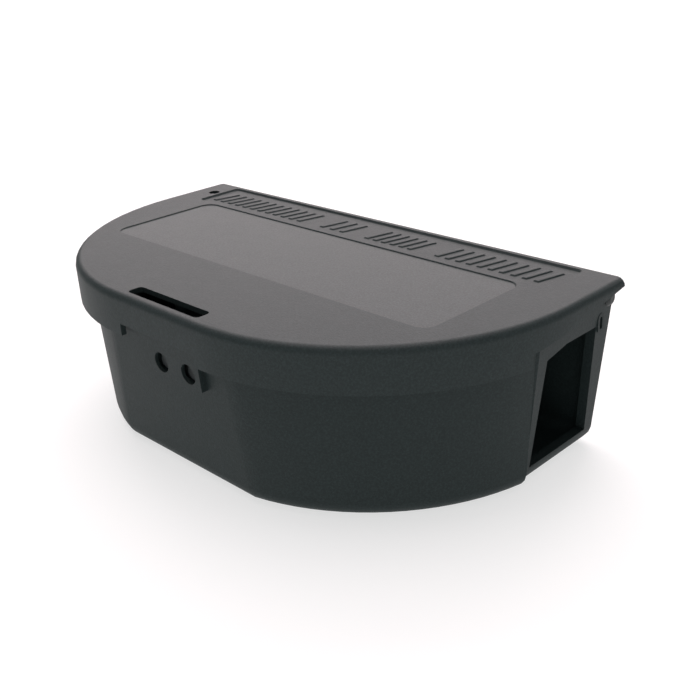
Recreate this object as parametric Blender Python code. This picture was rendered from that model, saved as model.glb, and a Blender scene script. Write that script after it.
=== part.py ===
"""Tamper-resistant bait station: moulded tub, hinged lid, two-prong catch, bait rods and tray.

The frame stands on the floor: +Z up, +X to the right, -Y towards the catch.
Plan distances that start at the straight back edge are called "ahead" and are
turned into Y by the function y_of().
"""

import math

import bmesh
import bpy
from mathutils import Vector

MM = 0.001
GAP = 0.3 * MM

# Overall size
WIDTH = 260 * MM
DEPTH = 140 * MM
HEIGHT = 78 * MM

# Lid
LID_WALL = 2.4 * MM
LID_CORNER_RADIUS = 102.5 * MM
LID_EDGE_RADIUS = 3.3 * MM
LID_INNER_EDGE_RADIUS = 1.5 * MM
SKIRT_DEPTH = 18.9 * MM
SIDE_SKIRT_FRONT_AHEAD = 60 * MM
SIDE_SKIRT_FRONT_Z = 65.2 * MM
SIDE_SKIRT_BACK_Z = 75.0 * MM
LID_BACK_CORNER = 0.6 * MM
LID_SLOT_X = (-22.9 * MM, 24.1 * MM)
LID_SLOT_AHEAD = (128.1 * MM, 135.3 * MM)
PANEL_HALF = 100.6 * MM
PANEL_AHEAD = (30.5 * MM, 89.4 * MM)
PANEL_DEPTH = 0.5 * MM
BAND_HALF = 111.0 * MM
BAND_AHEAD = (2.9 * MM, 28.0 * MM)
BAND_DEPTH = 0.9 * MM
RECESS_SLOPE = 0.9
CORNER_HOLE_X = -116.2 * MM
CORNER_HOLE_AHEAD = 15.0 * MM
CORNER_HOLE_RADIUS = 3.0 * MM
RIB_THICKNESS = 1.6 * MM
RIB_HEIGHT = 3.0 * MM

# Tub: the outline is given at the floor and at the rim, and drafted between them
TUB_WALL = 2.4 * MM
TUB_FLOOR = 2.6 * MM
TUB_RIM_Z = HEIGHT - LID_WALL - GAP
TUB_BACK_RIM_Z = 72.6 * MM
TUB_EDGE_RADIUS = 7.0 * MM
TUB_RIM_CHAMFER = 1.2 * MM
TUB_HALF = (118.7 * MM, 125.2 * MM)
TUB_FRONT = (131.8 * MM, 136.6 * MM)
TUB_BACK = (1.9 * MM, 0.0 * MM)
TUB_ARC_RADIUS = (103.5 * MM, 106.7 * MM)
TUB_ARC_CENTRE = (19.4 * MM, 31.0 * MM)
TUB_SIDE_END = 51.0 * MM
TUB_ARC_START = 52.6 * MM

# Entry holes in both side walls, as corners (ahead, z)
ENTRY = (
    (7.5 * MM, 8.0 * MM),
    (10.4 * MM, 58.6 * MM),
    (32.0 * MM, 58.6 * MM),
    (44.8 * MM, 55.8 * MM),
    (48.6 * MM, 8.0 * MM),
)
ENTRY_COLLAR = 2.0 * MM
ENTRY_COLLAR_DEPTH = 4.4 * MM

# Tie slots in the side walls, behind the entries
TIE_SLOT_AHEAD = 7.6 * MM
TIE_SLOT_Z = 59.6 * MM
TIE_SLOT_SIZE = (1.8 * MM, 5.4 * MM)
TIE_BOSS_SIZE = (4.6 * MM, 8.8 * MM)
TIE_BOSS_PROUD = 0.5 * MM

# Hinge
HINGE_AHEAD = 4.4 * MM
HINGE_Z = 69.8 * MM
HINGE_PIN_RADIUS = 1.5 * MM
HINGE_HEAD_RADIUS = 3.3 * MM
HINGE_HEAD_END = 127.0 * MM
HINGE_HEAD_THICKNESS = 1.7 * MM
HINGE_PIN_END = 117.2 * MM
LUG_RADIUS = 3.9 * MM
LUG_X = (118.0 * MM, 121.6 * MM)

# Catch: a pad with two key holes, and the nubs behind them
CATCH_X = 8.7 * MM
KEY_PITCH = 17.9 * MM
KEY_Z = 53.0 * MM
KEY_RADIUS = 4.5 * MM
PAD_HALF = 16.4 * MM
PAD_Z = (47.0 * MM, 64.0 * MM)
PAD_FACE = (137.5 * MM, 138.6 * MM)
PAD_SKIN = 1.6 * MM
NOTCH_X = (-24.3 * MM, 25.6 * MM)
NOTCH_TOP_Z = 64.5 * MM
NUB_RADIUS = 3.8 * MM
NUB_TIP = 135.5 * MM
TONGUE_WIDTH = 10.6 * MM
TONGUE_FACE = 134.0 * MM
TONGUE_THICKNESS = 1.8 * MM
TONGUE_BOTTOM_Z = 49.0 * MM
TONGUE_SHOULDER_Z = 60.5 * MM
TONGUE_SHOULDER = 2.5 * MM
PIVOT_AHEAD = 131.0 * MM
PIVOT_Z = 65.2 * MM
PIVOT_RADIUS = 1.0 * MM
EYE_RADIUS = 2.1 * MM
EAR_OFFSET = 15.7 * MM
EAR_THICKNESS = 1.6 * MM
SPRING_WIRE = 0.3 * MM
SPRING_RADIUS = 1.9 * MM
SPRING_X = (1.4 * MM, 3.0 * MM)
SPRING_TURNS = 1.75
BRACKET_Z = (68.0 * MM, 70.3 * MM)
BRACKET_AHEAD = (115.5 * MM, 133.3 * MM)
CATCH_SCREW_OFFSET = 13.0 * MM
CATCH_SCREW_AHEAD = 121.0 * MM
CATCH_SCREW_RADIUS = 1.3 * MM

# Partition between the tunnel and the bait chamber
PARTITION_AHEAD = 56.5 * MM
PARTITION_THICKNESS = 2.0 * MM
PARTITION_HALF = 64.0 * MM
PARTITION_TOP_Z = 54.0 * MM
POST_SIZE = 7.0 * MM
POST_TOP_Z = 40.0 * MM

# Tray and bait rods
TRAY_HALF = 58.0 * MM
TRAY_AHEAD = (63.0 * MM, 113.0 * MM)
TRAY_WALL = 1.8 * MM
TRAY_HEIGHT = 12.0 * MM
TRAY_CORNER = 8.0 * MM
ROD_X = 29.0 * MM
ROD_Z = 28.0 * MM
ROD_RADIUS = 2.0 * MM
ROD_AHEAD = (63.6 * MM, 113.5 * MM)
ROD_BEND_RADIUS = 5.0 * MM
ROD_END_Z = 40.0 * MM
ROD_POST_THICKNESS = 2.2 * MM
ROD_POST_WIDTH = 11.0 * MM
ROD_POST_TOP_Z = 32.5 * MM
BLOCK_SIZE = 26.0 * MM
BLOCK_LENGTH = 19.0 * MM
BLOCK_GROOVE = 1.6 * MM
BLOCK_AHEAD = (77.9 * MM, 98.1 * MM)

# Fixing holes
ANCHOR_RADIUS = 2.5 * MM
ANCHOR_X = 60.0 * MM
ANCHOR_AHEAD = 30.0 * MM
WALL_HOLE_X = 80.0 * MM
WALL_HOLE_Z = 36.0 * MM

ARC_STEPS = 18
EDGE_STEPS = 4
ROUND_STEPS = 20


def y_of(ahead):
    """The Y of a point that lies this far ahead of the straight back edge."""
    return DEPTH / 2 - ahead


def blend(ends, z):
    """A drafted size at height z, from its values at the floor and at the rim."""
    share = z / TUB_RIM_Z
    return ends[0] + (ends[1] - ends[0]) * share


# ---------------------------------------------------------------- mesh tools

def clear_scene():
    for old in list(bpy.data.objects):
        bpy.data.objects.remove(old, do_unlink=True)


def plastic(name, colour, roughness=0.55, metallic=0.0):
    material = bpy.data.materials.new(name)
    material.use_nodes = True
    shader = material.node_tree.nodes["Principled BSDF"]
    shader.inputs["Base Color"].default_value = (*colour, 1.0)
    shader.inputs["Roughness"].default_value = roughness
    shader.inputs["Metallic"].default_value = metallic
    return material


def add_object(name, bm, material=None):
    bmesh.ops.remove_doubles(bm, verts=bm.verts, dist=1e-7)
    bmesh.ops.recalc_face_normals(bm, faces=bm.faces)
    mesh = bpy.data.meshes.new(name)
    bm.to_mesh(mesh)
    bm.free()
    made = bpy.data.objects.new(name, mesh)
    bpy.context.scene.collection.objects.link(made)
    if material:
        mesh.materials.append(material)
    return made


def loft(name, rings, material=None):
    """A closed solid through rings that all have the same number of points."""
    bm = bmesh.new()
    rows = [[bm.verts.new(point) for point in ring] for ring in rings]
    count = len(rows[0])
    for low, high in zip(rows, rows[1:]):
        for i in range(count):
            j = (i + 1) % count
            bm.faces.new((low[i], low[j], high[j], high[i]))
    bm.faces.new(rows[0][::-1])
    bm.faces.new(rows[-1])
    return add_object(name, bm, material)


def box(name, low, high, material=None):
    x0, y0, z0 = low
    x1, y1, z1 = high
    rings = []
    for z in (z0, z1):
        rings.append([(x0, y0, z), (x1, y0, z), (x1, y1, z), (x0, y1, z)])
    return loft(name, rings, material)


def block(x_range, ahead_range, z_range, name="tool", material=None):
    """A box from ranges of x, of distance ahead of the back edge, and of z."""
    low = (min(x_range), y_of(max(ahead_range)), min(z_range))
    high = (max(x_range), y_of(min(ahead_range)), max(z_range))
    return box(name, low, high, material)


def prism_along_x(corners, x_range, name="tool"):
    """A prism whose section is a polygon of (ahead, z) corners."""
    rings = []
    for x in x_range:
        rings.append([(x, y_of(ahead), z) for ahead, z in corners])
    return loft(name, rings)


def prism_along_z(outline, z_range, name="tool"):
    rings = [[(x, y, z) for x, y in outline] for z in z_range]
    return loft(name, rings)


def turned(name, centre, direction, profile, steps=ROUND_STEPS, material=None):
    """A solid of revolution. The profile lists (distance along, radius) stations."""
    axis = Vector(direction).normalized()
    side = axis.orthogonal().normalized()
    up = axis.cross(side)
    rings = []
    for along, radius in profile:
        ring = []
        for i in range(steps):
            turn = 2 * math.pi * i / steps
            offset = side * math.cos(turn) + up * math.sin(turn)
            ring.append(Vector(centre) + axis * along + offset * radius)
        rings.append(ring)
    return loft(name, rings, material)


def rod_along(centre, direction, length, radius, steps=ROUND_STEPS, name="tool"):
    return turned(name, centre, direction, [(0, radius), (length, radius)], steps)


def tube(name, path, radius, steps):
    """A round wire along a path."""
    rings = []
    side = None
    for i, point in enumerate(path):
        forward = (path[min(i + 1, len(path) - 1)] - path[max(i - 1, 0)]).normalized()
        if side is None:
            side = forward.orthogonal().normalized()
        side = (side - forward * side.dot(forward)).normalized()
        up = forward.cross(side)
        ring = []
        for k in range(steps):
            turn = 2 * math.pi * k / steps
            ring.append(point + side * (radius * math.cos(turn)) + up * (radius * math.sin(turn)))
        rings.append(ring)
    return loft(name, rings)


def join(target, tool, operation):
    """Adds the tool to the target, or cuts it away, and removes the tool."""
    modifier = target.modifiers.new(operation.title(), "BOOLEAN")
    modifier.operation = operation
    modifier.solver = "EXACT"
    modifier.object = tool
    depsgraph = bpy.context.evaluated_depsgraph_get()
    result = bpy.data.meshes.new_from_object(target.evaluated_get(depsgraph))
    target.modifiers.clear()
    target.data = result
    bpy.data.objects.remove(tool, do_unlink=True)


def add(target, tool):
    join(target, tool, "UNION")


def cut(target, tool):
    join(target, tool, "DIFFERENCE")


def finish(target, name, material, angle=35):
    """Names the finished piece, gives it its material and smooths its round faces."""
    target.name = name
    target.data.name = name
    target.data.materials.clear()
    target.data.materials.append(material)
    for face in target.data.polygons:
        face.material_index = 0
    target.data.shade_smooth()
    target.data.set_sharp_from_angle(angle=math.radians(angle))
    return target


def set_origin(target, point):
    """Moves the piece's origin to a point without moving the piece."""
    shift = Vector(point)
    for vertex in target.data.vertices:
        vertex.co -= shift
    target.location = shift


def rounded_rectangle(half_x, y_range, radius, steps=5):
    low, high = min(y_range), max(y_range)
    corners = (
        (half_x - radius, high - radius, 0),
        (-half_x + radius, high - radius, 90),
        (-half_x + radius, low + radius, 180),
        (half_x - radius, low + radius, 270),
    )
    outline = []
    for x, y, start in corners:
        for i in range(steps + 1):
            turn = math.radians(start + 90 * i / steps)
            outline.append((x + radius * math.cos(turn), y + radius * math.sin(turn)))
    return outline


def obround(centre_ahead, centre_z, width, height, steps=6):
    """An upright slot's outline as (ahead, z) corners."""
    radius = width / 2
    reach = height / 2 - radius
    corners = []
    for sign, start in ((1, 0), (-1, 180)):
        for i in range(steps + 1):
            turn = math.radians(start + 180 * i / steps)
            ahead = centre_ahead + radius * math.cos(turn)
            z = centre_z + sign * reach + radius * math.sin(turn)
            corners.append((ahead, z))
    return corners


def rounded_drop(ahead, z, radius, top):
    """An ear's outline as (ahead, z) corners: straight sides above a half-round end."""
    corners = []
    for i in range(9):
        turn = math.radians(180 + 180 * i / 8)
        corners.append((ahead + radius * math.cos(turn), z + radius * math.sin(turn)))
    return corners + [(ahead + radius, top), (ahead - radius, top)]


# ------------------------------------------------------------ plan outlines

def mirrored(right_half):
    """A whole outline from its right half, listed from back to front."""
    left_half = [(-x, ahead) for x, ahead in reversed(right_half)]
    return right_half + left_half


def lid_outline(inset, back=0.0):
    """The lid's plan: straight back, two large front corners and a short flat front."""
    radius = LID_CORNER_RADIUS - inset
    centre_x = WIDTH / 2 - LID_CORNER_RADIUS
    centre_ahead = DEPTH - LID_CORNER_RADIUS
    cut_off = LID_BACK_CORNER
    half = [(WIDTH / 2 - inset - cut_off, back), (WIDTH / 2 - inset, back + cut_off)]
    for i in range(ARC_STEPS + 1):
        turn = math.pi / 2 * i / ARC_STEPS
        half.append((centre_x + radius * math.cos(turn), centre_ahead + radius * math.sin(turn)))
    return mirrored(half)


def tub_outline(z, inset):
    """The tub's plan at a height: flat sides, a small step, large arcs and a flat front."""
    half_width = blend(TUB_HALF, z) - inset
    front = blend(TUB_FRONT, z) - inset
    back = blend(TUB_BACK, z) + inset
    radius = blend(TUB_ARC_RADIUS, z) - inset
    centre_x, centre_ahead = TUB_ARC_CENTRE
    first = math.asin((TUB_ARC_START - centre_ahead) / radius)
    last = math.asin((front - centre_ahead) / radius)
    half = [(half_width, back), (half_width, TUB_SIDE_END)]
    for i in range(ARC_STEPS + 1):
        turn = first + (last - first) * i / ARC_STEPS
        half.append((centre_x + radius * math.cos(turn), centre_ahead + radius * math.sin(turn)))
    return mirrored(half)


def ring_at(outline, z):
    return [(x, y_of(ahead), z) for x, ahead in outline]


# --------------------------------------------------------------------- tub

def tub_rings(wall, floor, radius, top, chamfer=0.0):
    """Rings of a drafted bowl with a rounded bottom edge, from its floor to its top."""
    rings = []
    for i in range(EDGE_STEPS + 1):
        turn = math.pi / 2 * i / EDGE_STEPS
        z = floor + radius * (1 - math.cos(turn))
        inset = wall + radius * (1 - math.sin(turn))
        rings.append(ring_at(tub_outline(z, inset), z))
    rings.append(ring_at(tub_outline(top - chamfer, wall), top - chamfer))
    if chamfer:
        rings.append(ring_at(tub_outline(top, wall + chamfer), top))
    return rings


def cut_entries(tub):
    """Frames each entry with a collar inside the wall, then opens it."""
    middle_ahead = sum(ahead for ahead, _ in ENTRY) / len(ENTRY)
    middle_z = sum(z for _, z in ENTRY) / len(ENTRY)
    collar = []
    for ahead, z in ENTRY:
        step_ahead = math.copysign(ENTRY_COLLAR, ahead - middle_ahead)
        step_z = math.copysign(ENTRY_COLLAR, z - middle_z)
        collar.append((ahead + step_ahead, z + step_z))
    for side in (1, -1):
        rings = []
        for inset in (1.2 * MM, ENTRY_COLLAR_DEPTH):
            rings.append([(side * (blend(TUB_HALF, z) - inset), y_of(ahead), z) for ahead, z in collar])
        add(tub, loft("tool", rings))
    cut(tub, prism_along_x(ENTRY, (-WIDTH, WIDTH)))


def cut_tie_slots(tub):
    wall_outside = blend(TUB_HALF, TIE_SLOT_Z)
    boss = obround(TIE_SLOT_AHEAD, TIE_SLOT_Z, *TIE_BOSS_SIZE)
    slot = obround(TIE_SLOT_AHEAD, TIE_SLOT_Z, *TIE_SLOT_SIZE)
    outer = wall_outside + TIE_BOSS_PROUD
    for side in (1, -1):
        add(tub, prism_along_x(boss, sorted((side * (wall_outside - 1.2 * MM), side * outer))))
    cut(tub, prism_along_x(slot, (-WIDTH, WIDTH)))


def cut_hinge_seats(tub):
    """Pin holes through the side walls and knuckle notches in the back wall."""
    start = (-WIDTH / 2, y_of(HINGE_AHEAD), HINGE_Z)
    cut(tub, rod_along(start, (1, 0, 0), WIDTH, HINGE_PIN_RADIUS + GAP))
    notch_x = (LUG_X[0] - 1.2 * MM, LUG_X[1] + 0.6 * MM)
    for side in (1, -1):
        ends = [side * x for x in notch_x]
        cut(tub, block(ends, (-10 * MM, 11 * MM), (62.0 * MM, HEIGHT)))
    relief = ((-5 * MM, TUB_BACK_RIM_Z), (12 * MM, TUB_BACK_RIM_Z), (26 * MM, HEIGHT), (-5 * MM, HEIGHT))
    cut(tub, prism_along_x(relief, (-WIDTH, WIDTH)))


def pad_rings(half, z_range, faces, back):
    rings = []
    for z, face in zip(z_range, faces):
        rings.append([
            (CATCH_X - half, y_of(face), z),
            (CATCH_X + half, y_of(face), z),
            (CATCH_X + half, y_of(back), z),
            (CATCH_X - half, y_of(back), z),
        ])
    return rings


def add_catch_pad(tub):
    """The raised pad, the open-topped pocket behind it and its two key holes."""
    add(tub, loft("tool", pad_rings(PAD_HALF, PAD_Z, PAD_FACE, 134.0 * MM)))
    slope = (PAD_FACE[1] - PAD_FACE[0]) / (PAD_Z[1] - PAD_Z[0])
    pocket_z = (PAD_Z[0] + PAD_SKIN, HEIGHT + 2 * MM)
    pocket_face = [PAD_FACE[0] - PAD_SKIN + slope * (z - PAD_Z[0]) for z in pocket_z]
    cut(tub, loft("tool", pad_rings(PAD_HALF - PAD_SKIN, pocket_z, pocket_face, 120.0 * MM)))
    for side in (-1, 1):
        start = (CATCH_X + side * KEY_PITCH / 2, y_of(DEPTH + 2 * MM), KEY_Z)
        cut(tub, rod_along(start, (0, 1, 0), 8 * MM, KEY_RADIUS))


def add_partition_posts(tub):
    """Two channel posts on the floor that the partition slides down between."""
    reach = POST_SIZE / 2
    groove = PARTITION_THICKNESS / 2 + GAP
    ahead_range = (PARTITION_AHEAD - reach, PARTITION_AHEAD + reach)
    for side in (1, -1):
        ends = [side * (PARTITION_HALF - 2.5 * MM), side * (PARTITION_HALF + 4.5 * MM)]
        add(tub, block(ends, ahead_range, (1.0 * MM, POST_TOP_Z)))
        ends = [side * (PARTITION_HALF - 8 * MM), side * (PARTITION_HALF + GAP)]
        groove_range = (PARTITION_AHEAD - groove, PARTITION_AHEAD + groove)
        cut(tub, block(ends, groove_range, (TUB_FLOOR, POST_TOP_Z + 2 * MM)))


def cut_fixing_holes(tub):
    for side in (1, -1):
        foot = (side * ANCHOR_X, y_of(ANCHOR_AHEAD), -1 * MM)
        cut(tub, rod_along(foot, (0, 0, 1), 6 * MM, ANCHOR_RADIUS, 16))
        wall = (side * WALL_HOLE_X, y_of(8 * MM), WALL_HOLE_Z)
        cut(tub, rod_along(wall, (0, 1, 0), 12 * MM, ANCHOR_RADIUS, 16))


def make_tub(material):
    tub = loft("tub", tub_rings(0.0, 0.0, TUB_EDGE_RADIUS, TUB_RIM_Z, TUB_RIM_CHAMFER))
    inner_radius = TUB_EDGE_RADIUS - TUB_WALL
    cut(tub, loft("tool", tub_rings(TUB_WALL, TUB_FLOOR, inner_radius, HEIGHT + 2 * MM)))
    cut_entries(tub)
    cut_tie_slots(tub)
    add_catch_pad(tub)
    add_partition_posts(tub)
    cut_hinge_seats(tub)
    cut_fixing_holes(tub)
    return finish(tub, "base_tub", material)


# --------------------------------------------------------------------- lid

def lid_body():
    """The domed cap: skirt, rounded top edge and flat top."""
    rings = [ring_at(lid_outline(0.0), HEIGHT - SKIRT_DEPTH)]
    for i in range(EDGE_STEPS + 1):
        turn = math.pi / 2 * i / EDGE_STEPS
        z = HEIGHT - LID_EDGE_RADIUS * (1 - math.sin(turn))
        inset = LID_EDGE_RADIUS * (1 - math.cos(turn))
        rings.append(ring_at(lid_outline(inset), z))
    return loft("lid", rings)


def hollow_lid(lid):
    under = HEIGHT - LID_WALL
    rings = [ring_at(lid_outline(LID_WALL, -5 * MM), HEIGHT - SKIRT_DEPTH - 5 * MM)]
    inner_radius = LID_INNER_EDGE_RADIUS
    for i in range(EDGE_STEPS + 1):
        turn = math.pi / 2 * i / EDGE_STEPS
        z = under - inner_radius * (1 - math.sin(turn))
        inset = LID_WALL + inner_radius * (1 - math.cos(turn))
        rings.append(ring_at(lid_outline(inset, -5 * MM), z))
    cut(lid, loft("tool", rings))


def shape_skirt(lid):
    """Raises the skirt along both sides, towards the hinge, and notches it at the catch."""
    low = HEIGHT - SKIRT_DEPTH - 2 * MM
    side = (
        (-5 * MM, low),
        (-5 * MM, SIDE_SKIRT_BACK_Z),
        (0.0, SIDE_SKIRT_BACK_Z),
        (SIDE_SKIRT_FRONT_AHEAD, SIDE_SKIRT_FRONT_Z),
        (SIDE_SKIRT_FRONT_AHEAD, low),
    )
    cut(lid, prism_along_x(side, (-WIDTH, WIDTH)))
    cut(lid, block(NOTCH_X, (DEPTH - 10 * MM, DEPTH + 5 * MM), (low, NOTCH_TOP_Z)))


def sink(lid, half_x, ahead_range, depth, radius, steps):
    """Sinks a shallow rectangle with sloping sides into the lid's top."""
    rings = []
    for rise in (0.0, depth, 1.5 * depth):
        grow = RECESS_SLOPE * rise
        y_range = (y_of(ahead_range[0]) + grow, y_of(ahead_range[1]) - grow)
        outline = rounded_rectangle(half_x + grow, y_range, radius + grow, steps)
        rings.append([(x, y, HEIGHT - depth + rise) for x, y in outline])
    cut(lid, loft("tool", rings))


def recess_top(lid):
    """The shallow label panel, the band behind it, the slot and the corner hole."""
    sink(lid, PANEL_HALF, PANEL_AHEAD, PANEL_DEPTH, 6 * MM, 5)
    sink(lid, BAND_HALF, BAND_AHEAD, BAND_DEPTH, 1.5 * MM, 3)
    slot_y = [y_of(ahead) for ahead in LID_SLOT_AHEAD]
    half = (LID_SLOT_X[1] - LID_SLOT_X[0]) / 2
    middle = (LID_SLOT_X[1] + LID_SLOT_X[0]) / 2
    slot = [(x + middle, y) for x, y in rounded_rectangle(half, slot_y, 2.0 * MM)]
    cut(lid, prism_along_z(slot, (HEIGHT - 6 * MM, HEIGHT + 2 * MM)))
    hole = (CORNER_HOLE_X, y_of(CORNER_HOLE_AHEAD), HEIGHT - 6 * MM)
    cut(lid, rod_along(hole, (0, 0, 1), 10 * MM, CORNER_HOLE_RADIUS))


def add_ribs(lid):
    """Stiffening ribs under the flat top."""
    z_range = (HEIGHT - LID_WALL - RIB_HEIGHT, HEIGHT - LID_WALL + 0.5 * MM)
    half = RIB_THICKNESS / 2
    for x in (-75 * MM, 75 * MM):
        add(lid, block((x - half, x + half), (16 * MM, 104 * MM), z_range))
    add(lid, block((-104 * MM, 104 * MM), (60 * MM - half, 60 * MM + half), z_range))


def add_lugs(lid):
    """Knuckles that hang from the back corners and turn on the hinge pins."""
    top = HEIGHT - LID_WALL + 0.4 * MM
    axis_y = y_of(HINGE_AHEAD)
    for side in (1, -1):
        x_range = sorted(side * x for x in LUG_X)
        add(lid, prism_along_x(rounded_drop(HINGE_AHEAD, HINGE_Z, LUG_RADIUS, top), x_range))
        start = (x_range[0] - 1 * MM, axis_y, HINGE_Z)
        cut(lid, rod_along(start, (1, 0, 0), LUG_X[1] - LUG_X[0] + 2 * MM, HINGE_PIN_RADIUS + GAP))


def add_catch_bosses(lid):
    """Two bosses that the catch bracket is screwed to."""
    bottom = BRACKET_Z[1] + GAP
    for side in (1, -1):
        x = CATCH_X + side * CATCH_SCREW_OFFSET
        foot = (x, y_of(CATCH_SCREW_AHEAD), bottom)
        add(lid, rod_along(foot, (0, 0, 1), HEIGHT - LID_WALL + 0.5 * MM - bottom, 3.4 * MM))
        foot = (x, y_of(CATCH_SCREW_AHEAD), bottom - 1 * MM)
        cut(lid, rod_along(foot, (0, 0, 1), 5.6 * MM, CATCH_SCREW_RADIUS + GAP, 12))


def make_lid(material):
    lid = lid_body()
    hollow_lid(lid)
    shape_skirt(lid)
    recess_top(lid)
    add_ribs(lid)
    add_lugs(lid)
    add_catch_bosses(lid)
    finish(lid, "lid_shell", material)
    set_origin(lid, (0, y_of(HINGE_AHEAD), HINGE_Z))
    return lid


# ------------------------------------------------------------- hinge, catch

def make_hinge_pins(material):
    for side, word in ((-1, "left"), (1, "right")):
        start = (side * HINGE_HEAD_END, y_of(HINGE_AHEAD), HINGE_Z)
        profile = [
            (0, HINGE_HEAD_RADIUS - 1.6 * MM),
            (0.5 * MM, HINGE_HEAD_RADIUS - 0.6 * MM),
            (1.2 * MM, HINGE_HEAD_RADIUS),
            (HINGE_HEAD_THICKNESS, HINGE_HEAD_RADIUS),
            (HINGE_HEAD_THICKNESS, HINGE_PIN_RADIUS),
            (HINGE_HEAD_END - HINGE_PIN_END - 0.4 * MM, HINGE_PIN_RADIUS),
            (HINGE_HEAD_END - HINGE_PIN_END, HINGE_PIN_RADIUS - 0.4 * MM),
        ]
        pin = turned("pin", start, (-side, 0, 0), profile)
        finish(pin, f"hinge_pin_{word}", material)


def make_bracket(material):
    """The plate under the lid that carries the pivot rod in three ears."""
    half = EAR_OFFSET + EAR_THICKNESS / 2
    x_range = (CATCH_X - half, CATCH_X + half)
    bracket = block(x_range, BRACKET_AHEAD, BRACKET_Z, "bracket")
    ear = rounded_drop(PIVOT_AHEAD, PIVOT_Z, EYE_RADIUS, BRACKET_Z[0] + 0.5 * MM)
    for offset in (-EAR_OFFSET, 0.0, EAR_OFFSET):
        x = CATCH_X + offset
        add(bracket, prism_along_x(ear, (x - EAR_THICKNESS / 2, x + EAR_THICKNESS / 2)))
    lip_x = (CATCH_X - 6.5 * MM, CATCH_X + 6.5 * MM)
    add(bracket, block(lip_x, (124.6 * MM, 126.2 * MM), (64.0 * MM, BRACKET_Z[0] + 0.5 * MM)))
    start = (CATCH_X - half - 1 * MM, y_of(PIVOT_AHEAD), PIVOT_Z)
    cut(bracket, rod_along(start, (1, 0, 0), 2 * half + 2 * MM, PIVOT_RADIUS + GAP, 16))
    for side in (1, -1):
        foot = (CATCH_X + side * CATCH_SCREW_OFFSET, y_of(CATCH_SCREW_AHEAD), BRACKET_Z[0] - 1 * MM)
        cut(bracket, rod_along(foot, (0, 0, 1), 5 * MM, CATCH_SCREW_RADIUS + GAP, 12))
    return finish(bracket, "catch_bracket", material)


def make_pivot(material):
    """The rod that both tongues turn on, with a head at each end."""
    reach = EAR_OFFSET + EAR_THICKNESS / 2 + GAP
    head = reach + 1.0 * MM
    profile = [
        (-head, PIVOT_RADIUS),
        (-head + 0.3 * MM, PIVOT_RADIUS + 0.7 * MM),
        (-reach, PIVOT_RADIUS + 0.7 * MM),
        (-reach, PIVOT_RADIUS),
        (reach, PIVOT_RADIUS),
        (reach, PIVOT_RADIUS + 0.7 * MM),
        (head - 0.3 * MM, PIVOT_RADIUS + 0.7 * MM),
        (head, PIVOT_RADIUS),
    ]
    pivot = turned("pivot", (CATCH_X, y_of(PIVOT_AHEAD), PIVOT_Z), (1, 0, 0), profile, 16)
    finish(pivot, "catch_pivot", material)


def make_tongues(material):
    """Tongues that hang on the pivot. Each carries the nub behind one key hole."""
    root_ahead = TONGUE_FACE - TONGUE_THICKNESS
    for side, word in ((-1, "left"), (1, "right")):
        x = CATCH_X + side * KEY_PITCH / 2
        x_range = (x - TONGUE_WIDTH / 2, x + TONGUE_WIDTH / 2)
        tongue = block(x_range, (root_ahead, TONGUE_FACE), (TONGUE_BOTTOM_Z, PIVOT_Z), "tongue")
        wide = (x + side * TONGUE_WIDTH / 2, x - side * (TONGUE_WIDTH / 2 + TONGUE_SHOULDER))
        add(tongue, block(wide, (root_ahead, TONGUE_FACE), (TONGUE_BOTTOM_Z, TONGUE_SHOULDER_Z)))
        axle = (x_range[0], y_of(PIVOT_AHEAD), PIVOT_Z)
        add(tongue, rod_along(axle, (1, 0, 0), TONGUE_WIDTH, EYE_RADIUS, 16))
        axle = (x_range[0] - 1 * MM, y_of(PIVOT_AHEAD), PIVOT_Z)
        cut(tongue, rod_along(axle, (1, 0, 0), TONGUE_WIDTH + 2 * MM, PIVOT_RADIUS + GAP, 16))
        start = (x, y_of(TONGUE_FACE - 0.9 * MM), KEY_Z)
        reach = NUB_TIP - TONGUE_FACE + 0.9 * MM
        profile = [(0, NUB_RADIUS), (reach - 0.6 * MM, NUB_RADIUS), (reach, NUB_RADIUS - 0.6 * MM)]
        add(tongue, turned("tool", start, (0, -1, 0), profile))
        finish(tongue, f"catch_tongue_{word}", material)
        set_origin(tongue, (x, y_of(PIVOT_AHEAD), PIVOT_Z))


def make_springs(material):
    """Torsion springs on the pivot, with one leg under the bracket and one behind the tongue."""
    for side, word in ((-1, "left"), (1, "right")):
        first = CATCH_X + side * SPRING_X[0]
        last = CATCH_X + side * SPRING_X[1]
        low = PIVOT_Z - SPRING_RADIUS
        path = [Vector((first, y_of(124.0 * MM), low)), Vector((first, y_of(PIVOT_AHEAD - 1 * MM), low))]
        steps = int(SPRING_TURNS * 12)
        for i in range(steps + 1):
            share = i / steps
            turn = math.radians(270) + 2 * math.pi * SPRING_TURNS * share
            ahead = PIVOT_AHEAD + SPRING_RADIUS * math.cos(turn)
            z = PIVOT_Z + SPRING_RADIUS * math.sin(turn)
            path.append(Vector((first + (last - first) * share, y_of(ahead), z)))
        path.append(Vector((last, y_of(PIVOT_AHEAD - SPRING_RADIUS), 57.5 * MM)))
        finish(tube("spring", path, SPRING_WIRE, 8), f"catch_spring_{word}", material)


def make_catch_screws(material):
    head_z = BRACKET_Z[0] - GAP
    for side, word in ((-1, "left"), (1, "right")):
        start = (CATCH_X + side * CATCH_SCREW_OFFSET, y_of(CATCH_SCREW_AHEAD), head_z - 2.0 * MM)
        profile = [
            (0, 1.7 * MM),
            (0.6 * MM, 2.5 * MM),
            (2.0 * MM, 2.6 * MM),
            (2.0 * MM, CATCH_SCREW_RADIUS),
            (7.4 * MM, CATCH_SCREW_RADIUS),
            (8.2 * MM, 0.4 * MM),
        ]
        screw = turned("screw", start, (0, 0, 1), profile, 16)
        finish(screw, f"catch_screw_{word}", material)


# ---------------------------------------------------------- inner furniture

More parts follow.
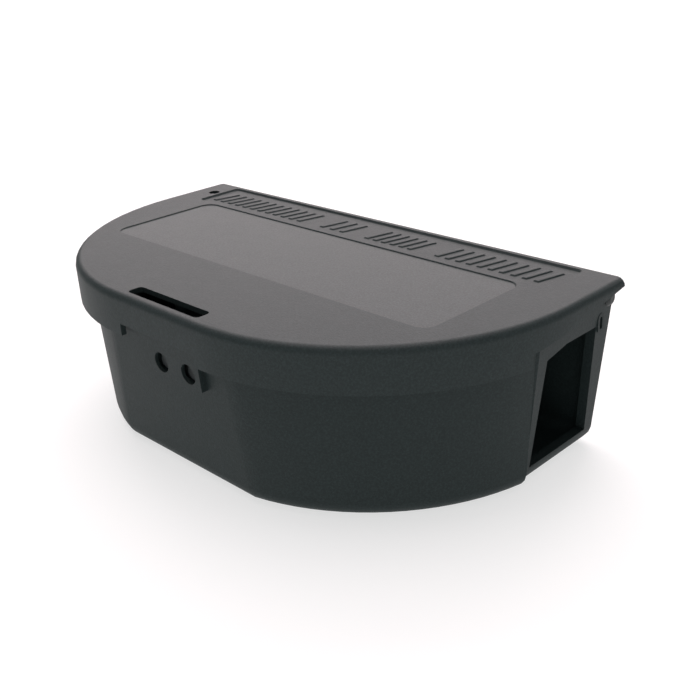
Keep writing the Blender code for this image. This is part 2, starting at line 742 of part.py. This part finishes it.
def make_partition(material):
    z_range = (TUB_FLOOR + GAP, PARTITION_TOP_Z)
    ahead_range = (PARTITION_AHEAD - PARTITION_THICKNESS / 2, PARTITION_AHEAD + PARTITION_THICKNESS / 2)
    wall = block((-PARTITION_HALF, PARTITION_HALF), ahead_range, z_range, "partition")
    grip = rounded_rectangle(16 * MM, (-5 * MM, 5 * MM), 4.9 * MM, 4)
    rings = []
    for ahead in (PARTITION_AHEAD - 4 * MM, PARTITION_AHEAD + 4 * MM):
        rings.append([(x, y_of(ahead), PARTITION_TOP_Z - 9 * MM + rise) for x, rise in grip])
    cut(wall, loft("tool", rings))
    for side in (1, -1):
        corner = side * PARTITION_HALF
        inner = side * (PARTITION_HALF - 8 * MM)
        rings = []
        for ahead in (PARTITION_AHEAD - 4 * MM, PARTITION_AHEAD + 4 * MM):
            rings.append([
                (inner, y_of(ahead), PARTITION_TOP_Z + 1 * MM),
                (corner + side * MM, y_of(ahead), PARTITION_TOP_Z - 8 * MM),
                (corner + side * MM, y_of(ahead), PARTITION_TOP_Z + 1 * MM),
            ])
        cut(wall, loft("tool", rings))
    return finish(wall, "tunnel_partition", material)


def make_tray(material):
    """The lift-out tray with a pair of notched posts for each bait rod."""
    bottom = TUB_FLOOR + GAP
    tray_y = [y_of(ahead) for ahead in TRAY_AHEAD]
    outside = rounded_rectangle(TRAY_HALF, tray_y, TRAY_CORNER)
    tray = prism_along_z(outside, (bottom, bottom + TRAY_HEIGHT), "tray")
    inner_y = (tray_y[0] - TRAY_WALL, tray_y[1] + TRAY_WALL)
    inside = rounded_rectangle(TRAY_HALF - TRAY_WALL, inner_y, TRAY_CORNER - TRAY_WALL)
    cut(tray, prism_along_z(inside, (bottom + TRAY_WALL, HEIGHT)))
    notch_radius = ROD_RADIUS + GAP
    for side in (1, -1):
        x = side * ROD_X
        for end, step in ((TRAY_AHEAD[0], 1), (TRAY_AHEAD[1], -1)):
            ahead_range = (end, end + step * ROD_POST_THICKNESS)
            half = ROD_POST_WIDTH / 2
            add(tray, block((x - half, x + half), ahead_range, (bottom + 0.5 * MM, ROD_POST_TOP_Z)))
        seat = (x, y_of(TRAY_AHEAD[1] + 5 * MM), ROD_Z)
        length = TRAY_AHEAD[1] - TRAY_AHEAD[0] + 10 * MM
        cut(tray, rod_along(seat, (0, 1, 0), length, notch_radius, 16))
        mouth = (x - notch_radius * 0.98, x + notch_radius * 0.98)
        cut(tray, block(mouth, (TRAY_AHEAD[0] - 5 * MM, TRAY_AHEAD[1] + 5 * MM), (ROD_Z, HEIGHT)))
    return finish(tray, "bait_tray", material)


def rod_path():
    """A straight rod whose front end is bent up as a finger hold."""
    start, end = ROD_AHEAD
    path = [(start, ROD_Z), (end - ROD_BEND_RADIUS + 6 * MM, ROD_Z)]
    centre = (end - ROD_BEND_RADIUS + 6 * MM, ROD_Z + ROD_BEND_RADIUS)
    for i in range(1, 6):
        turn = math.radians(-90 + 90 * i / 5)
        path.append((centre[0] + ROD_BEND_RADIUS * math.cos(turn), centre[1] + ROD_BEND_RADIUS * math.sin(turn)))
    path.append((centre[0] + ROD_BEND_RADIUS, ROD_END_Z))
    return path


def make_rods(material):
    for side, word in ((-1, "left"), (1, "right")):
        path = [Vector((side * ROD_X, y_of(ahead), z)) for ahead, z in rod_path()]
        finish(tube("rod", path, ROD_RADIUS, 12), f"bait_rod_{word}", material)


def block_section(x):
    """A square bait block's section with a groove down the middle of each side."""
    half = BLOCK_SIZE / 2
    corner = 3 * MM
    groove = 3.4 * MM
    quarter = [
        (half, -half + corner),
        (half, -groove),
        (half - BLOCK_GROOVE, 0.0),
        (half, groove),
        (half, half - corner),
    ]
    outline = []
    for turns in range(4):
        for across, rise in quarter:
            for _ in range(turns):
                across, rise = -rise, across
            outline.append((x + across, ROD_Z + rise))
    return outline


def make_blocks(material):
    """Two pierced bait blocks on each rod."""
    number = 0
    for side in (-1, 1):
        for ahead in BLOCK_AHEAD:
            number += 1
            x = side * ROD_X
            rings = []
            for end in (ahead - BLOCK_LENGTH / 2, ahead + BLOCK_LENGTH / 2):
                rings.append([(across, y_of(end), z) for across, z in block_section(x)])
            bait = loft("block", rings)
            start = (x, y_of(ahead + BLOCK_LENGTH), ROD_Z)
            cut(bait, rod_along(start, (0, 1, 0), 2 * BLOCK_LENGTH, ROD_RADIUS + GAP, 16))
            finish(bait, f"bait_block_{number}", material)


def main():
    clear_scene()
    charcoal = plastic("charcoal_plastic", (0.052, 0.056, 0.058), 0.55)
    grey = plastic("inner_plastic", (0.075, 0.078, 0.08), 0.5)
    catch = plastic("catch_plastic", (0.06, 0.064, 0.066), 0.45)
    steel = plastic("plated_steel", (0.62, 0.62, 0.6), 0.35, 1.0)
    dark_steel = plastic("blackened_steel", (0.07, 0.07, 0.072), 0.4, 0.6)
    bait = plastic("bait_wax", (0.11, 0.3, 0.33), 0.6)
    make_tub(charcoal)
    make_lid(charcoal)
    make_hinge_pins(dark_steel)
    make_bracket(catch)
    make_pivot(steel)
    make_tongues(catch)
    make_springs(steel)
    make_catch_screws(steel)
    make_partition(grey)
    make_tray(grey)
    make_rods(steel)
    make_blocks(bait)


main()
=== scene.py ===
import math

import bmesh
import bpy
from mathutils import Matrix, Vector


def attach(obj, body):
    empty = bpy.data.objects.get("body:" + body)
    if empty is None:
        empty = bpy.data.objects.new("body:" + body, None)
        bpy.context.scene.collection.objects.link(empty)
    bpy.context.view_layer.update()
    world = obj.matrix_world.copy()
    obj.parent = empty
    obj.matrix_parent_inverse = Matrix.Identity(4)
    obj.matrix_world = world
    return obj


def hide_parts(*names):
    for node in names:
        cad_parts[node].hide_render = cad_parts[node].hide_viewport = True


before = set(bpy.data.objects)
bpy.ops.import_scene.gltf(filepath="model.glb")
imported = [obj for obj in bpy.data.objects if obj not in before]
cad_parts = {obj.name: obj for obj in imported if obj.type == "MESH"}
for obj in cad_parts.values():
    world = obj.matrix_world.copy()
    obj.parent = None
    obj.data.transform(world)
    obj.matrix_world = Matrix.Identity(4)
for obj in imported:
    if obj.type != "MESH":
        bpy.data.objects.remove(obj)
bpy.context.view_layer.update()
MM = 0.001

CAMERA_PLACE = (0.31115, -0.26598, 0.21854)
CAMERA_AZIMUTH = 45.46
CAMERA_ELEVATION = 24.47
CAMERA_ROLL = -2.9
CAMERA_LENS = 49.94
CAMERA_SENSOR = 36.0
CAMERA_CLIP = 0.01

WHITE = (1.0, 1.0, 1.0)
WARM = (1.0, 0.885, 0.9)
FLOOR_REACH = 6.0
FLOOR_Z = -0.0002
FLOOR_COLOUR = (0.4, 0.4, 0.4, 1)
FLOOR_GLOW = 0.65
WORLD_LIGHT = 0.23
WORLD_SEEN = 0.74

# Each light's name, place, target, width and height in metres, power in watts and colour
LIGHTS = (
    ("back", (-1.83, 1.93, 1.69), (0, 0, 0.05), (3.44, 2.5), 83, WARM),
    ("top", (-0.3, 0.3, 1.6), (0, 0, 0.05), (1.6, 1.6), 26, WARM),
    ("front", (1.0, -1.2, 0.8), (0, 0, 0.04), (1.2, 0.8), 2.3, WHITE),
)

# The colour sockets of the Mix node, which share their names with its other types
MIX_FACTOR = 0
MIX_FIRST = 6
MIX_SECOND = 7
MIX_RESULT = 2

# The lid's recesses, as in the CAD. AHEAD is measured forward from the straight back edge.
BACK_Y = 70 * MM
LID_TOP = 78 * MM
PANEL_HALF = 100.6 * MM
PANEL_AHEAD = (30.5 * MM, 89.4 * MM)
PANEL_FLOOR = LID_TOP - 0.5 * MM
PANEL_TOLERANCE = 0.00005
FACES_UP = 0.9
BAND_FLOOR = LID_TOP - 0.9 * MM

# The raised marks in the band: runs of slanted bars, with a gap between runs.
# RUNS, PITCH, WIDTH and SLANT are in millimetres along the band.
MARK_RUNS = ((-107.0, -34.5), (-24.0, -4.0), (6.5, 38.5), (49.0, 107.0))
MARK_AHEAD = (8.6 * MM, 23.4 * MM)
MARK_PITCH = 5.8
MARK_WIDTH = 3.3
MARK_SLANT = 3.4
MARK_RISE = 0.55 * MM
MARK_SINK = 0.2 * MM
MARK_SLOPE = 0.7 * MM
MARK_ROUNDING = 0.2 * MM

# How the moulded pieces are softened
TUB_ROUNDING = 0.4 * MM
LID_ROUNDING = 0.45 * MM
TRAY_ROUNDING = 0.3 * MM
PARTITION_ROUNDING = 0.4 * MM
CATCH_ROUNDING = 0.25 * MM
BAIT_ROUNDING = 0.9 * MM
WELD_DISTANCE = 1e-7
FLAT_ANGLE = math.radians(0.4)
ROUNDED_ANGLE = math.radians(32)
SHARP_ANGLE = math.radians(50)
NORMAL_WEIGHT = 100


# ------------------------------------------------------------------- studio

def add_camera():
    turn = math.radians(CAMERA_AZIMUTH)
    tilt = math.radians(CAMERA_ELEVATION)
    roll = math.radians(CAMERA_ROLL)
    forward = Vector((
        -math.sin(turn) * math.cos(tilt),
        math.cos(turn) * math.cos(tilt),
        -math.sin(tilt),
    ))
    level = Vector((math.cos(turn), math.sin(turn), 0))
    upright = level.cross(forward)
    right = level * math.cos(roll) + upright * math.sin(roll)
    up = upright * math.cos(roll) - level * math.sin(roll)
    data = bpy.data.cameras.new("camera")
    data.lens = CAMERA_LENS
    data.sensor_width = CAMERA_SENSOR
    data.clip_start = CAMERA_CLIP
    camera = bpy.data.objects.new("camera", data)
    bpy.context.scene.collection.objects.link(camera)
    rotation = Matrix((right, up, -forward)).transposed().to_4x4()
    camera.matrix_world = Matrix.Translation(CAMERA_PLACE) @ rotation
    bpy.context.scene.camera = camera


def add_area(name, place, target, size, energy, colour):
    data = bpy.data.lights.new(name, "AREA")
    data.color = colour
    data.shape = "RECTANGLE"
    data.size = size[0]
    data.size_y = size[1]
    data.energy = energy
    light = bpy.data.objects.new(name, data)
    bpy.context.scene.collection.objects.link(light)
    light.location = place
    aim = Vector(target) - Vector(place)
    light.rotation_euler = aim.to_track_quat("-Z", "Y").to_euler()


def link_mesh(name, bm):
    """Turns a bmesh into an object in the scene."""
    mesh = bpy.data.meshes.new(name)
    bm.to_mesh(mesh)
    bm.free()
    made = bpy.data.objects.new(name, mesh)
    bpy.context.scene.collection.objects.link(made)
    return made


def add_floor():
    """A plain white floor, slightly glowing so that it stays pale out to the horizon."""
    bm = bmesh.new()
    corners = [(-1, -1), (1, -1), (1, 1), (-1, 1)]
    bm.faces.new([bm.verts.new((x * FLOOR_REACH, y * FLOOR_REACH, FLOOR_Z)) for x, y in corners])
    floor = link_mesh("floor", bm)
    material = bpy.data.materials.new("floor_white")
    material.use_nodes = True
    shader = material.node_tree.nodes["Principled BSDF"]
    shader.inputs["Base Color"].default_value = FLOOR_COLOUR
    shader.inputs["Roughness"].default_value = 1.0
    shader.inputs["Specular IOR Level"].default_value = 0.0
    shader.inputs["Emission Color"].default_value = (*WHITE, 1)
    shader.inputs["Emission Strength"].default_value = FLOOR_GLOW
    floor.data.materials.append(material)


def add_world():
    """A white surround: one strength for its light, another for how it looks past the floor."""
    world = bpy.data.worlds.new("studio")
    world.use_nodes = True
    tree = world.node_tree
    background = tree.nodes["Background"]
    background.inputs["Color"].default_value = (*WHITE, 1)
    path = tree.nodes.new("ShaderNodeLightPath")
    level = tree.nodes.new("ShaderNodeMapRange")
    level.inputs["To Min"].default_value = WORLD_LIGHT
    level.inputs["To Max"].default_value = WORLD_SEEN
    tree.links.new(path.outputs["Is Camera Ray"], level.inputs["Value"])
    tree.links.new(level.outputs["Result"], background.inputs["Strength"])
    bpy.context.scene.world = world


# ---------------------------------------------------------------- materials

class Nodes:
    """Short calls for building a material's node tree."""

    def __init__(self, name):
        self.material = bpy.data.materials.new(name)
        self.material.use_nodes = True
        self.tree = self.material.node_tree
        self.shader = self.tree.nodes["Principled BSDF"]
        place = self.tree.nodes.new("ShaderNodeTexCoord")
        self.place = place.outputs["Object"]

    def link(self, start, end):
        self.tree.links.new(start, end)

    def noise(self, scale, detail=4.0, roughness=0.6, stretch=None):
        node = self.tree.nodes.new("ShaderNodeTexNoise")
        node.inputs["Scale"].default_value = scale
        node.inputs["Detail"].default_value = detail
        node.inputs["Roughness"].default_value = roughness
        source = self.place
        if stretch:
            mapping = self.tree.nodes.new("ShaderNodeMapping")
            mapping.inputs["Scale"].default_value = stretch
            self.link(self.place, mapping.inputs["Vector"])
            source = mapping.outputs["Vector"]
        self.link(source, node.inputs["Vector"])
        return node.outputs["Fac"]

    def cells(self, scale):
        node = self.tree.nodes.new("ShaderNodeTexVoronoi")
        node.inputs["Scale"].default_value = scale
        self.link(self.place, node.inputs["Vector"])
        return node.outputs["Distance"]

    def ramp(self, source, low, high, start=0.0, end=1.0):
        node = self.tree.nodes.new("ShaderNodeMapRange")
        node.inputs["From Min"].default_value = low
        node.inputs["From Max"].default_value = high
        node.inputs["To Min"].default_value = start
        node.inputs["To Max"].default_value = end
        self.link(source, node.inputs["Value"])
        return node.outputs["Result"]

    def mix(self, factor, first, second):
        node = self.tree.nodes.new("ShaderNodeMix")
        node.data_type = "RGBA"
        for value, place in ((first, MIX_FIRST), (second, MIX_SECOND)):
            if isinstance(value, tuple):
                node.inputs[place].default_value = (*value, 1.0)
            else:
                self.link(value, node.inputs[place])
        self.link(factor, node.inputs[MIX_FACTOR])
        return node.outputs[MIX_RESULT]

    def bump(self, height, distance, strength=1.0, before=None):
        node = self.tree.nodes.new("ShaderNodeBump")
        node.inputs["Distance"].default_value = distance
        node.inputs["Strength"].default_value = strength
        self.link(height, node.inputs["Height"])
        if before:
            self.link(before, node.inputs["Normal"])
        return node.outputs["Normal"]


def scaled(colour, factor):
    return tuple(channel * factor for channel in colour)


def moulded(name, colour, roughness, grain, specular, fleck_mix=0.7):
    """Grained moulded plastic: fine speckle and soft mottling. The grain's depth is in metres."""
    nodes = Nodes(name)
    mottle = nodes.ramp(nodes.noise(scale=38, detail=3, roughness=0.55), low=0.3, high=0.7)
    tone = nodes.mix(mottle, scaled(colour, 0.98), scaled(colour, 1.03))
    speckle = nodes.noise(scale=1150, detail=3, roughness=0.75)
    flecks = nodes.ramp(speckle, low=0.42, high=0.68, start=0.0, end=fleck_mix)
    tone = nodes.mix(flecks, tone, scaled(colour, 1.65))
    wear = nodes.noise(scale=140, detail=3)
    rough = nodes.ramp(wear, low=0.3, high=0.7, start=roughness - 0.01, end=roughness + 0.01)
    fine = nodes.noise(scale=1500, detail=2, roughness=0.6)
    coarse = nodes.noise(scale=420, detail=2, roughness=0.5)
    relief = nodes.bump(fine, distance=grain, strength=0.8)
    relief = nodes.bump(coarse, distance=grain * 0.8, strength=0.5, before=relief)
    nodes.link(tone, nodes.shader.inputs["Base Color"])
    nodes.link(rough, nodes.shader.inputs["Roughness"])
    nodes.link(relief, nodes.shader.inputs["Normal"])
    nodes.shader.inputs["Specular IOR Level"].default_value = specular
    return nodes.material


def plated(name, colour, roughness):
    """Drawn and plated steel with faint lengthwise marks and dulled patches."""
    nodes = Nodes(name)
    patch = nodes.noise(scale=120, detail=4, roughness=0.6)
    tone = nodes.mix(nodes.ramp(patch, low=0.35, high=0.75), colour, scaled(colour, 0.7))
    rough = nodes.ramp(patch, low=0.3, high=0.7, start=roughness, end=roughness + 0.18)
    streak = nodes.noise(scale=900, detail=3, roughness=0.6, stretch=(0.15, 1.0, 1.0))
    relief = nodes.bump(streak, distance=0.00002, strength=0.6)
    nodes.link(tone, nodes.shader.inputs["Base Color"])
    nodes.link(rough, nodes.shader.inputs["Roughness"])
    nodes.link(relief, nodes.shader.inputs["Normal"])
    nodes.shader.inputs["Metallic"].default_value = 1.0
    return nodes.material


def waxy(name, colour):
    """Pressed bait: wax with pale grain crumbs and a pitted skin."""
    nodes = Nodes(name)
    cloud = nodes.ramp(nodes.noise(scale=90, detail=4), low=0.35, high=0.7)
    tone = nodes.mix(cloud, colour, scaled(colour, 0.72))
    crumbs = nodes.cells(scale=420)
    pale = tuple(min(channel * 1.5 + 0.05, 1) for channel in colour)
    tone = nodes.mix(nodes.ramp(crumbs, low=0.0, high=0.35, start=0.75, end=0.0), tone, pale)
    skin = nodes.noise(scale=260, detail=3)
    rough = nodes.ramp(skin, low=0.3, high=0.7, start=0.45, end=0.7)
    pits = nodes.bump(nodes.noise(scale=700, detail=3), distance=0.0004, strength=0.7)
    relief = nodes.bump(crumbs, distance=0.0003, strength=0.5, before=pits)
    nodes.link(tone, nodes.shader.inputs["Base Color"])
    nodes.link(rough, nodes.shader.inputs["Roughness"])
    nodes.link(relief, nodes.shader.inputs["Normal"])
    nodes.shader.inputs["Subsurface Weight"].default_value = 0.08
    nodes.shader.inputs["Subsurface Scale"].default_value = 0.002
    return nodes.material


# ------------------------------------------------------------------- pieces

def settled(obj):
    """Bakes an object's modifiers into its mesh."""
    depsgraph = bpy.context.evaluated_depsgraph_get()
    mesh = bpy.data.meshes.new_from_object(obj.evaluated_get(depsgraph))
    obj.modifiers.clear()
    obj.data = mesh


def softened(name, node, body, material, width, segments=2, edge=None):
    """A copy of a CAD node with its flat faces merged and its hard edges rounded.

    The rounded edges take the edge material, where one is given: a paler colour that paints the
    highlight the edges catch.
    """
    bm = bmesh.new()
    bm.from_mesh(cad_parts[node].data)
    bmesh.ops.remove_doubles(bm, verts=bm.verts, dist=WELD_DISTANCE)
    bmesh.ops.dissolve_limit(bm, angle_limit=FLAT_ANGLE, verts=bm.verts, edges=bm.edges)
    piece = link_mesh(name, bm)
    piece.data.materials.clear()
    piece.data.materials.append(material)
    bevel = piece.modifiers.new("edges", "BEVEL")
    bevel.width = width
    bevel.segments = segments
    bevel.limit_method = "ANGLE"
    bevel.angle_limit = ROUNDED_ANGLE
    bevel.use_clamp_overlap = True
    if edge:
        piece.data.materials.append(edge)
        bevel.material = 1
    piece.data.shade_smooth()
    settled(piece)
    piece.data.set_sharp_from_angle(angle=SHARP_ANGLE)
    weighted = piece.modifiers.new("normals", "WEIGHTED_NORMAL")
    weighted.keep_sharp = True
    weighted.weight = NORMAL_WEIGHT
    settled(piece)
    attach(piece, body)
    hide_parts(node)
    return piece


def paint_panel(lid, material):
    """Gives the label panel's floor its smoother finish, in a paler colour that paints part of
    its sheen.
    """
    lid.data.materials.append(material)
    low = BACK_Y - PANEL_AHEAD[1]
    high = BACK_Y - PANEL_AHEAD[0]
    for face in lid.data.polygons:
        x, y, z = face.center
        inside = abs(x) < PANEL_HALF and low < y < high
        level = abs(z - PANEL_FLOOR) < PANEL_TOLERANCE and face.normal.z > FACES_UP
        if inside and level:
            face.material_index = len(lid.data.materials) - 1


def add_marks(material):
    """The band's raised marks: slanted bars with sloping sides, rooted in the band's floor."""
    bm = bmesh.new()
    centres = []
    for start, end in MARK_RUNS:
        count = round((end - start) / MARK_PITCH)
        step = (end - start) / count
        centres += [start + step * (i + 0.5) for i in range(count)]
    for centre in centres:
        bottom = []
        top = []
        for ahead, lean, lift in (
            (MARK_AHEAD[1], -MARK_SLANT / 2, MARK_SLOPE),
            (MARK_AHEAD[0], MARK_SLANT / 2, -MARK_SLOPE),
        ):
            for side in (-1, 1):
                x = (centre + lean + side * MARK_WIDTH / 2) * MM
                y = BACK_Y - ahead
                bottom.append((x, y, BAND_FLOOR - MARK_SINK))
                top.append((x - side * MARK_SLOPE, y + lift, BAND_FLOOR + MARK_RISE))
        order = (0, 1, 3, 2)
        low = [bm.verts.new(bottom[i]) for i in order]
        high = [bm.verts.new(top[i]) for i in order]
        bm.faces.new(low[::-1])
        bm.faces.new(high)
        for i in range(4):
            j = (i + 1) % 4
            bm.faces.new((low[i], low[j], high[j], high[i]))
    bmesh.ops.recalc_face_normals(bm, faces=bm.faces)
    marks = link_mesh("lid_marks", bm)
    marks.data.materials.append(material)
    bevel = marks.modifiers.new("edges", "BEVEL")
    bevel.width = MARK_ROUNDING
    bevel.segments = 3
    settled(marks)
    marks.data.shade_smooth()
    marks.data.set_sharp_from_angle(angle=SHARP_ANGLE)
    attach(marks, "lid")


def repaint(names, material):
    """Gives CAD nodes that stay as they are their material."""
    for name in names:
        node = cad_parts[name]
        node.data.materials.clear()
        node.data.materials.append(material)


def make_pieces():
    charcoal = moulded(
        "charcoal_grain", (0.0195, 0.0285, 0.0288), roughness=0.55, grain=0.00009, specular=0.2)
    # The tub's colour is a darker copy of the lid's charcoal: painted shade on the tub's walls.
    tub = moulded(
        "tub_grain_painted_shade", (0.0165, 0.025, 0.0252), roughness=0.55, grain=0.00009, specular=0.18)
    # The edge materials are paler copies of the body colours: painted highlight on the rounded
    # edges.
    lid_edge_highlight = moulded(
        "charcoal_edge_highlight", (0.031, 0.042, 0.0424), roughness=0.5, grain=0.00006, specular=0.25)
    tub_edge_highlight = moulded(
        "tub_edge_highlight", (0.025, 0.0355, 0.036), roughness=0.5, grain=0.00006, specular=0.25)
    # The panel's paler colour is painted sheen; its lower roughness is the real smoother finish.
    panel = moulded(
        "charcoal_panel_sheen", (0.0285, 0.0375, 0.0378), roughness=0.52, grain=0.00006, specular=0.22,
        fleck_mix=1.0)
    inner = moulded(
        "inner_plastic", (0.03, 0.034, 0.035), roughness=0.5, grain=0.00004, specular=0.25)
    catch = moulded(
        "catch_plastic", (0.021, 0.026, 0.0265), roughness=0.5, grain=0.00003, specular=0.25)
    dark = moulded(
        "pin_black", (0.022, 0.027, 0.027), roughness=0.45, grain=0.00002, specular=0.3)
    steel = plated("plated_steel", (0.62, 0.62, 0.6), roughness=0.28)
    wax = waxy("bait_wax", (0.07, 0.22, 0.26))

    softened("tub_body", "base_tub", "base", tub, TUB_ROUNDING, edge=tub_edge_highlight)
    lid = softened(
        "lid_body", "lid_shell", "lid", charcoal, LID_ROUNDING,
        segments=3, edge=lid_edge_highlight)
    paint_panel(lid, panel)
    add_marks(charcoal)
    softened("tray_body", "bait_tray", "tray", inner, TRAY_ROUNDING)
    softened(
        "partition_body", "tunnel_partition", "partition", inner, PARTITION_ROUNDING)
    softened("bracket_body", "catch_bracket", "lid", catch, CATCH_ROUNDING)
    for body in ("tongue_left", "tongue_right"):
        softened(f"{body}_body", f"catch_{body}", body, catch, CATCH_ROUNDING)
    for number, body in ((1, "rod_left"), (2, "rod_left"), (3, "rod_right"), (4, "rod_right")):
        softened(
            f"bait_{number}_body", f"bait_block_{number}", body, wax, BAIT_ROUNDING,
            segments=3)
    repaint(("hinge_pin_left", "hinge_pin_right"), dark)
    repaint(("catch_pivot", "catch_spring_left", "catch_spring_right"), steel)
    repaint(("catch_screw_left", "catch_screw_right", "bait_rod_left", "bait_rod_right"), steel)


add_camera()
add_floor()
add_world()
for light in LIGHTS:
    add_area(*light)
make_pieces()
bpy.context.scene.view_settings.view_transform = "Standard"
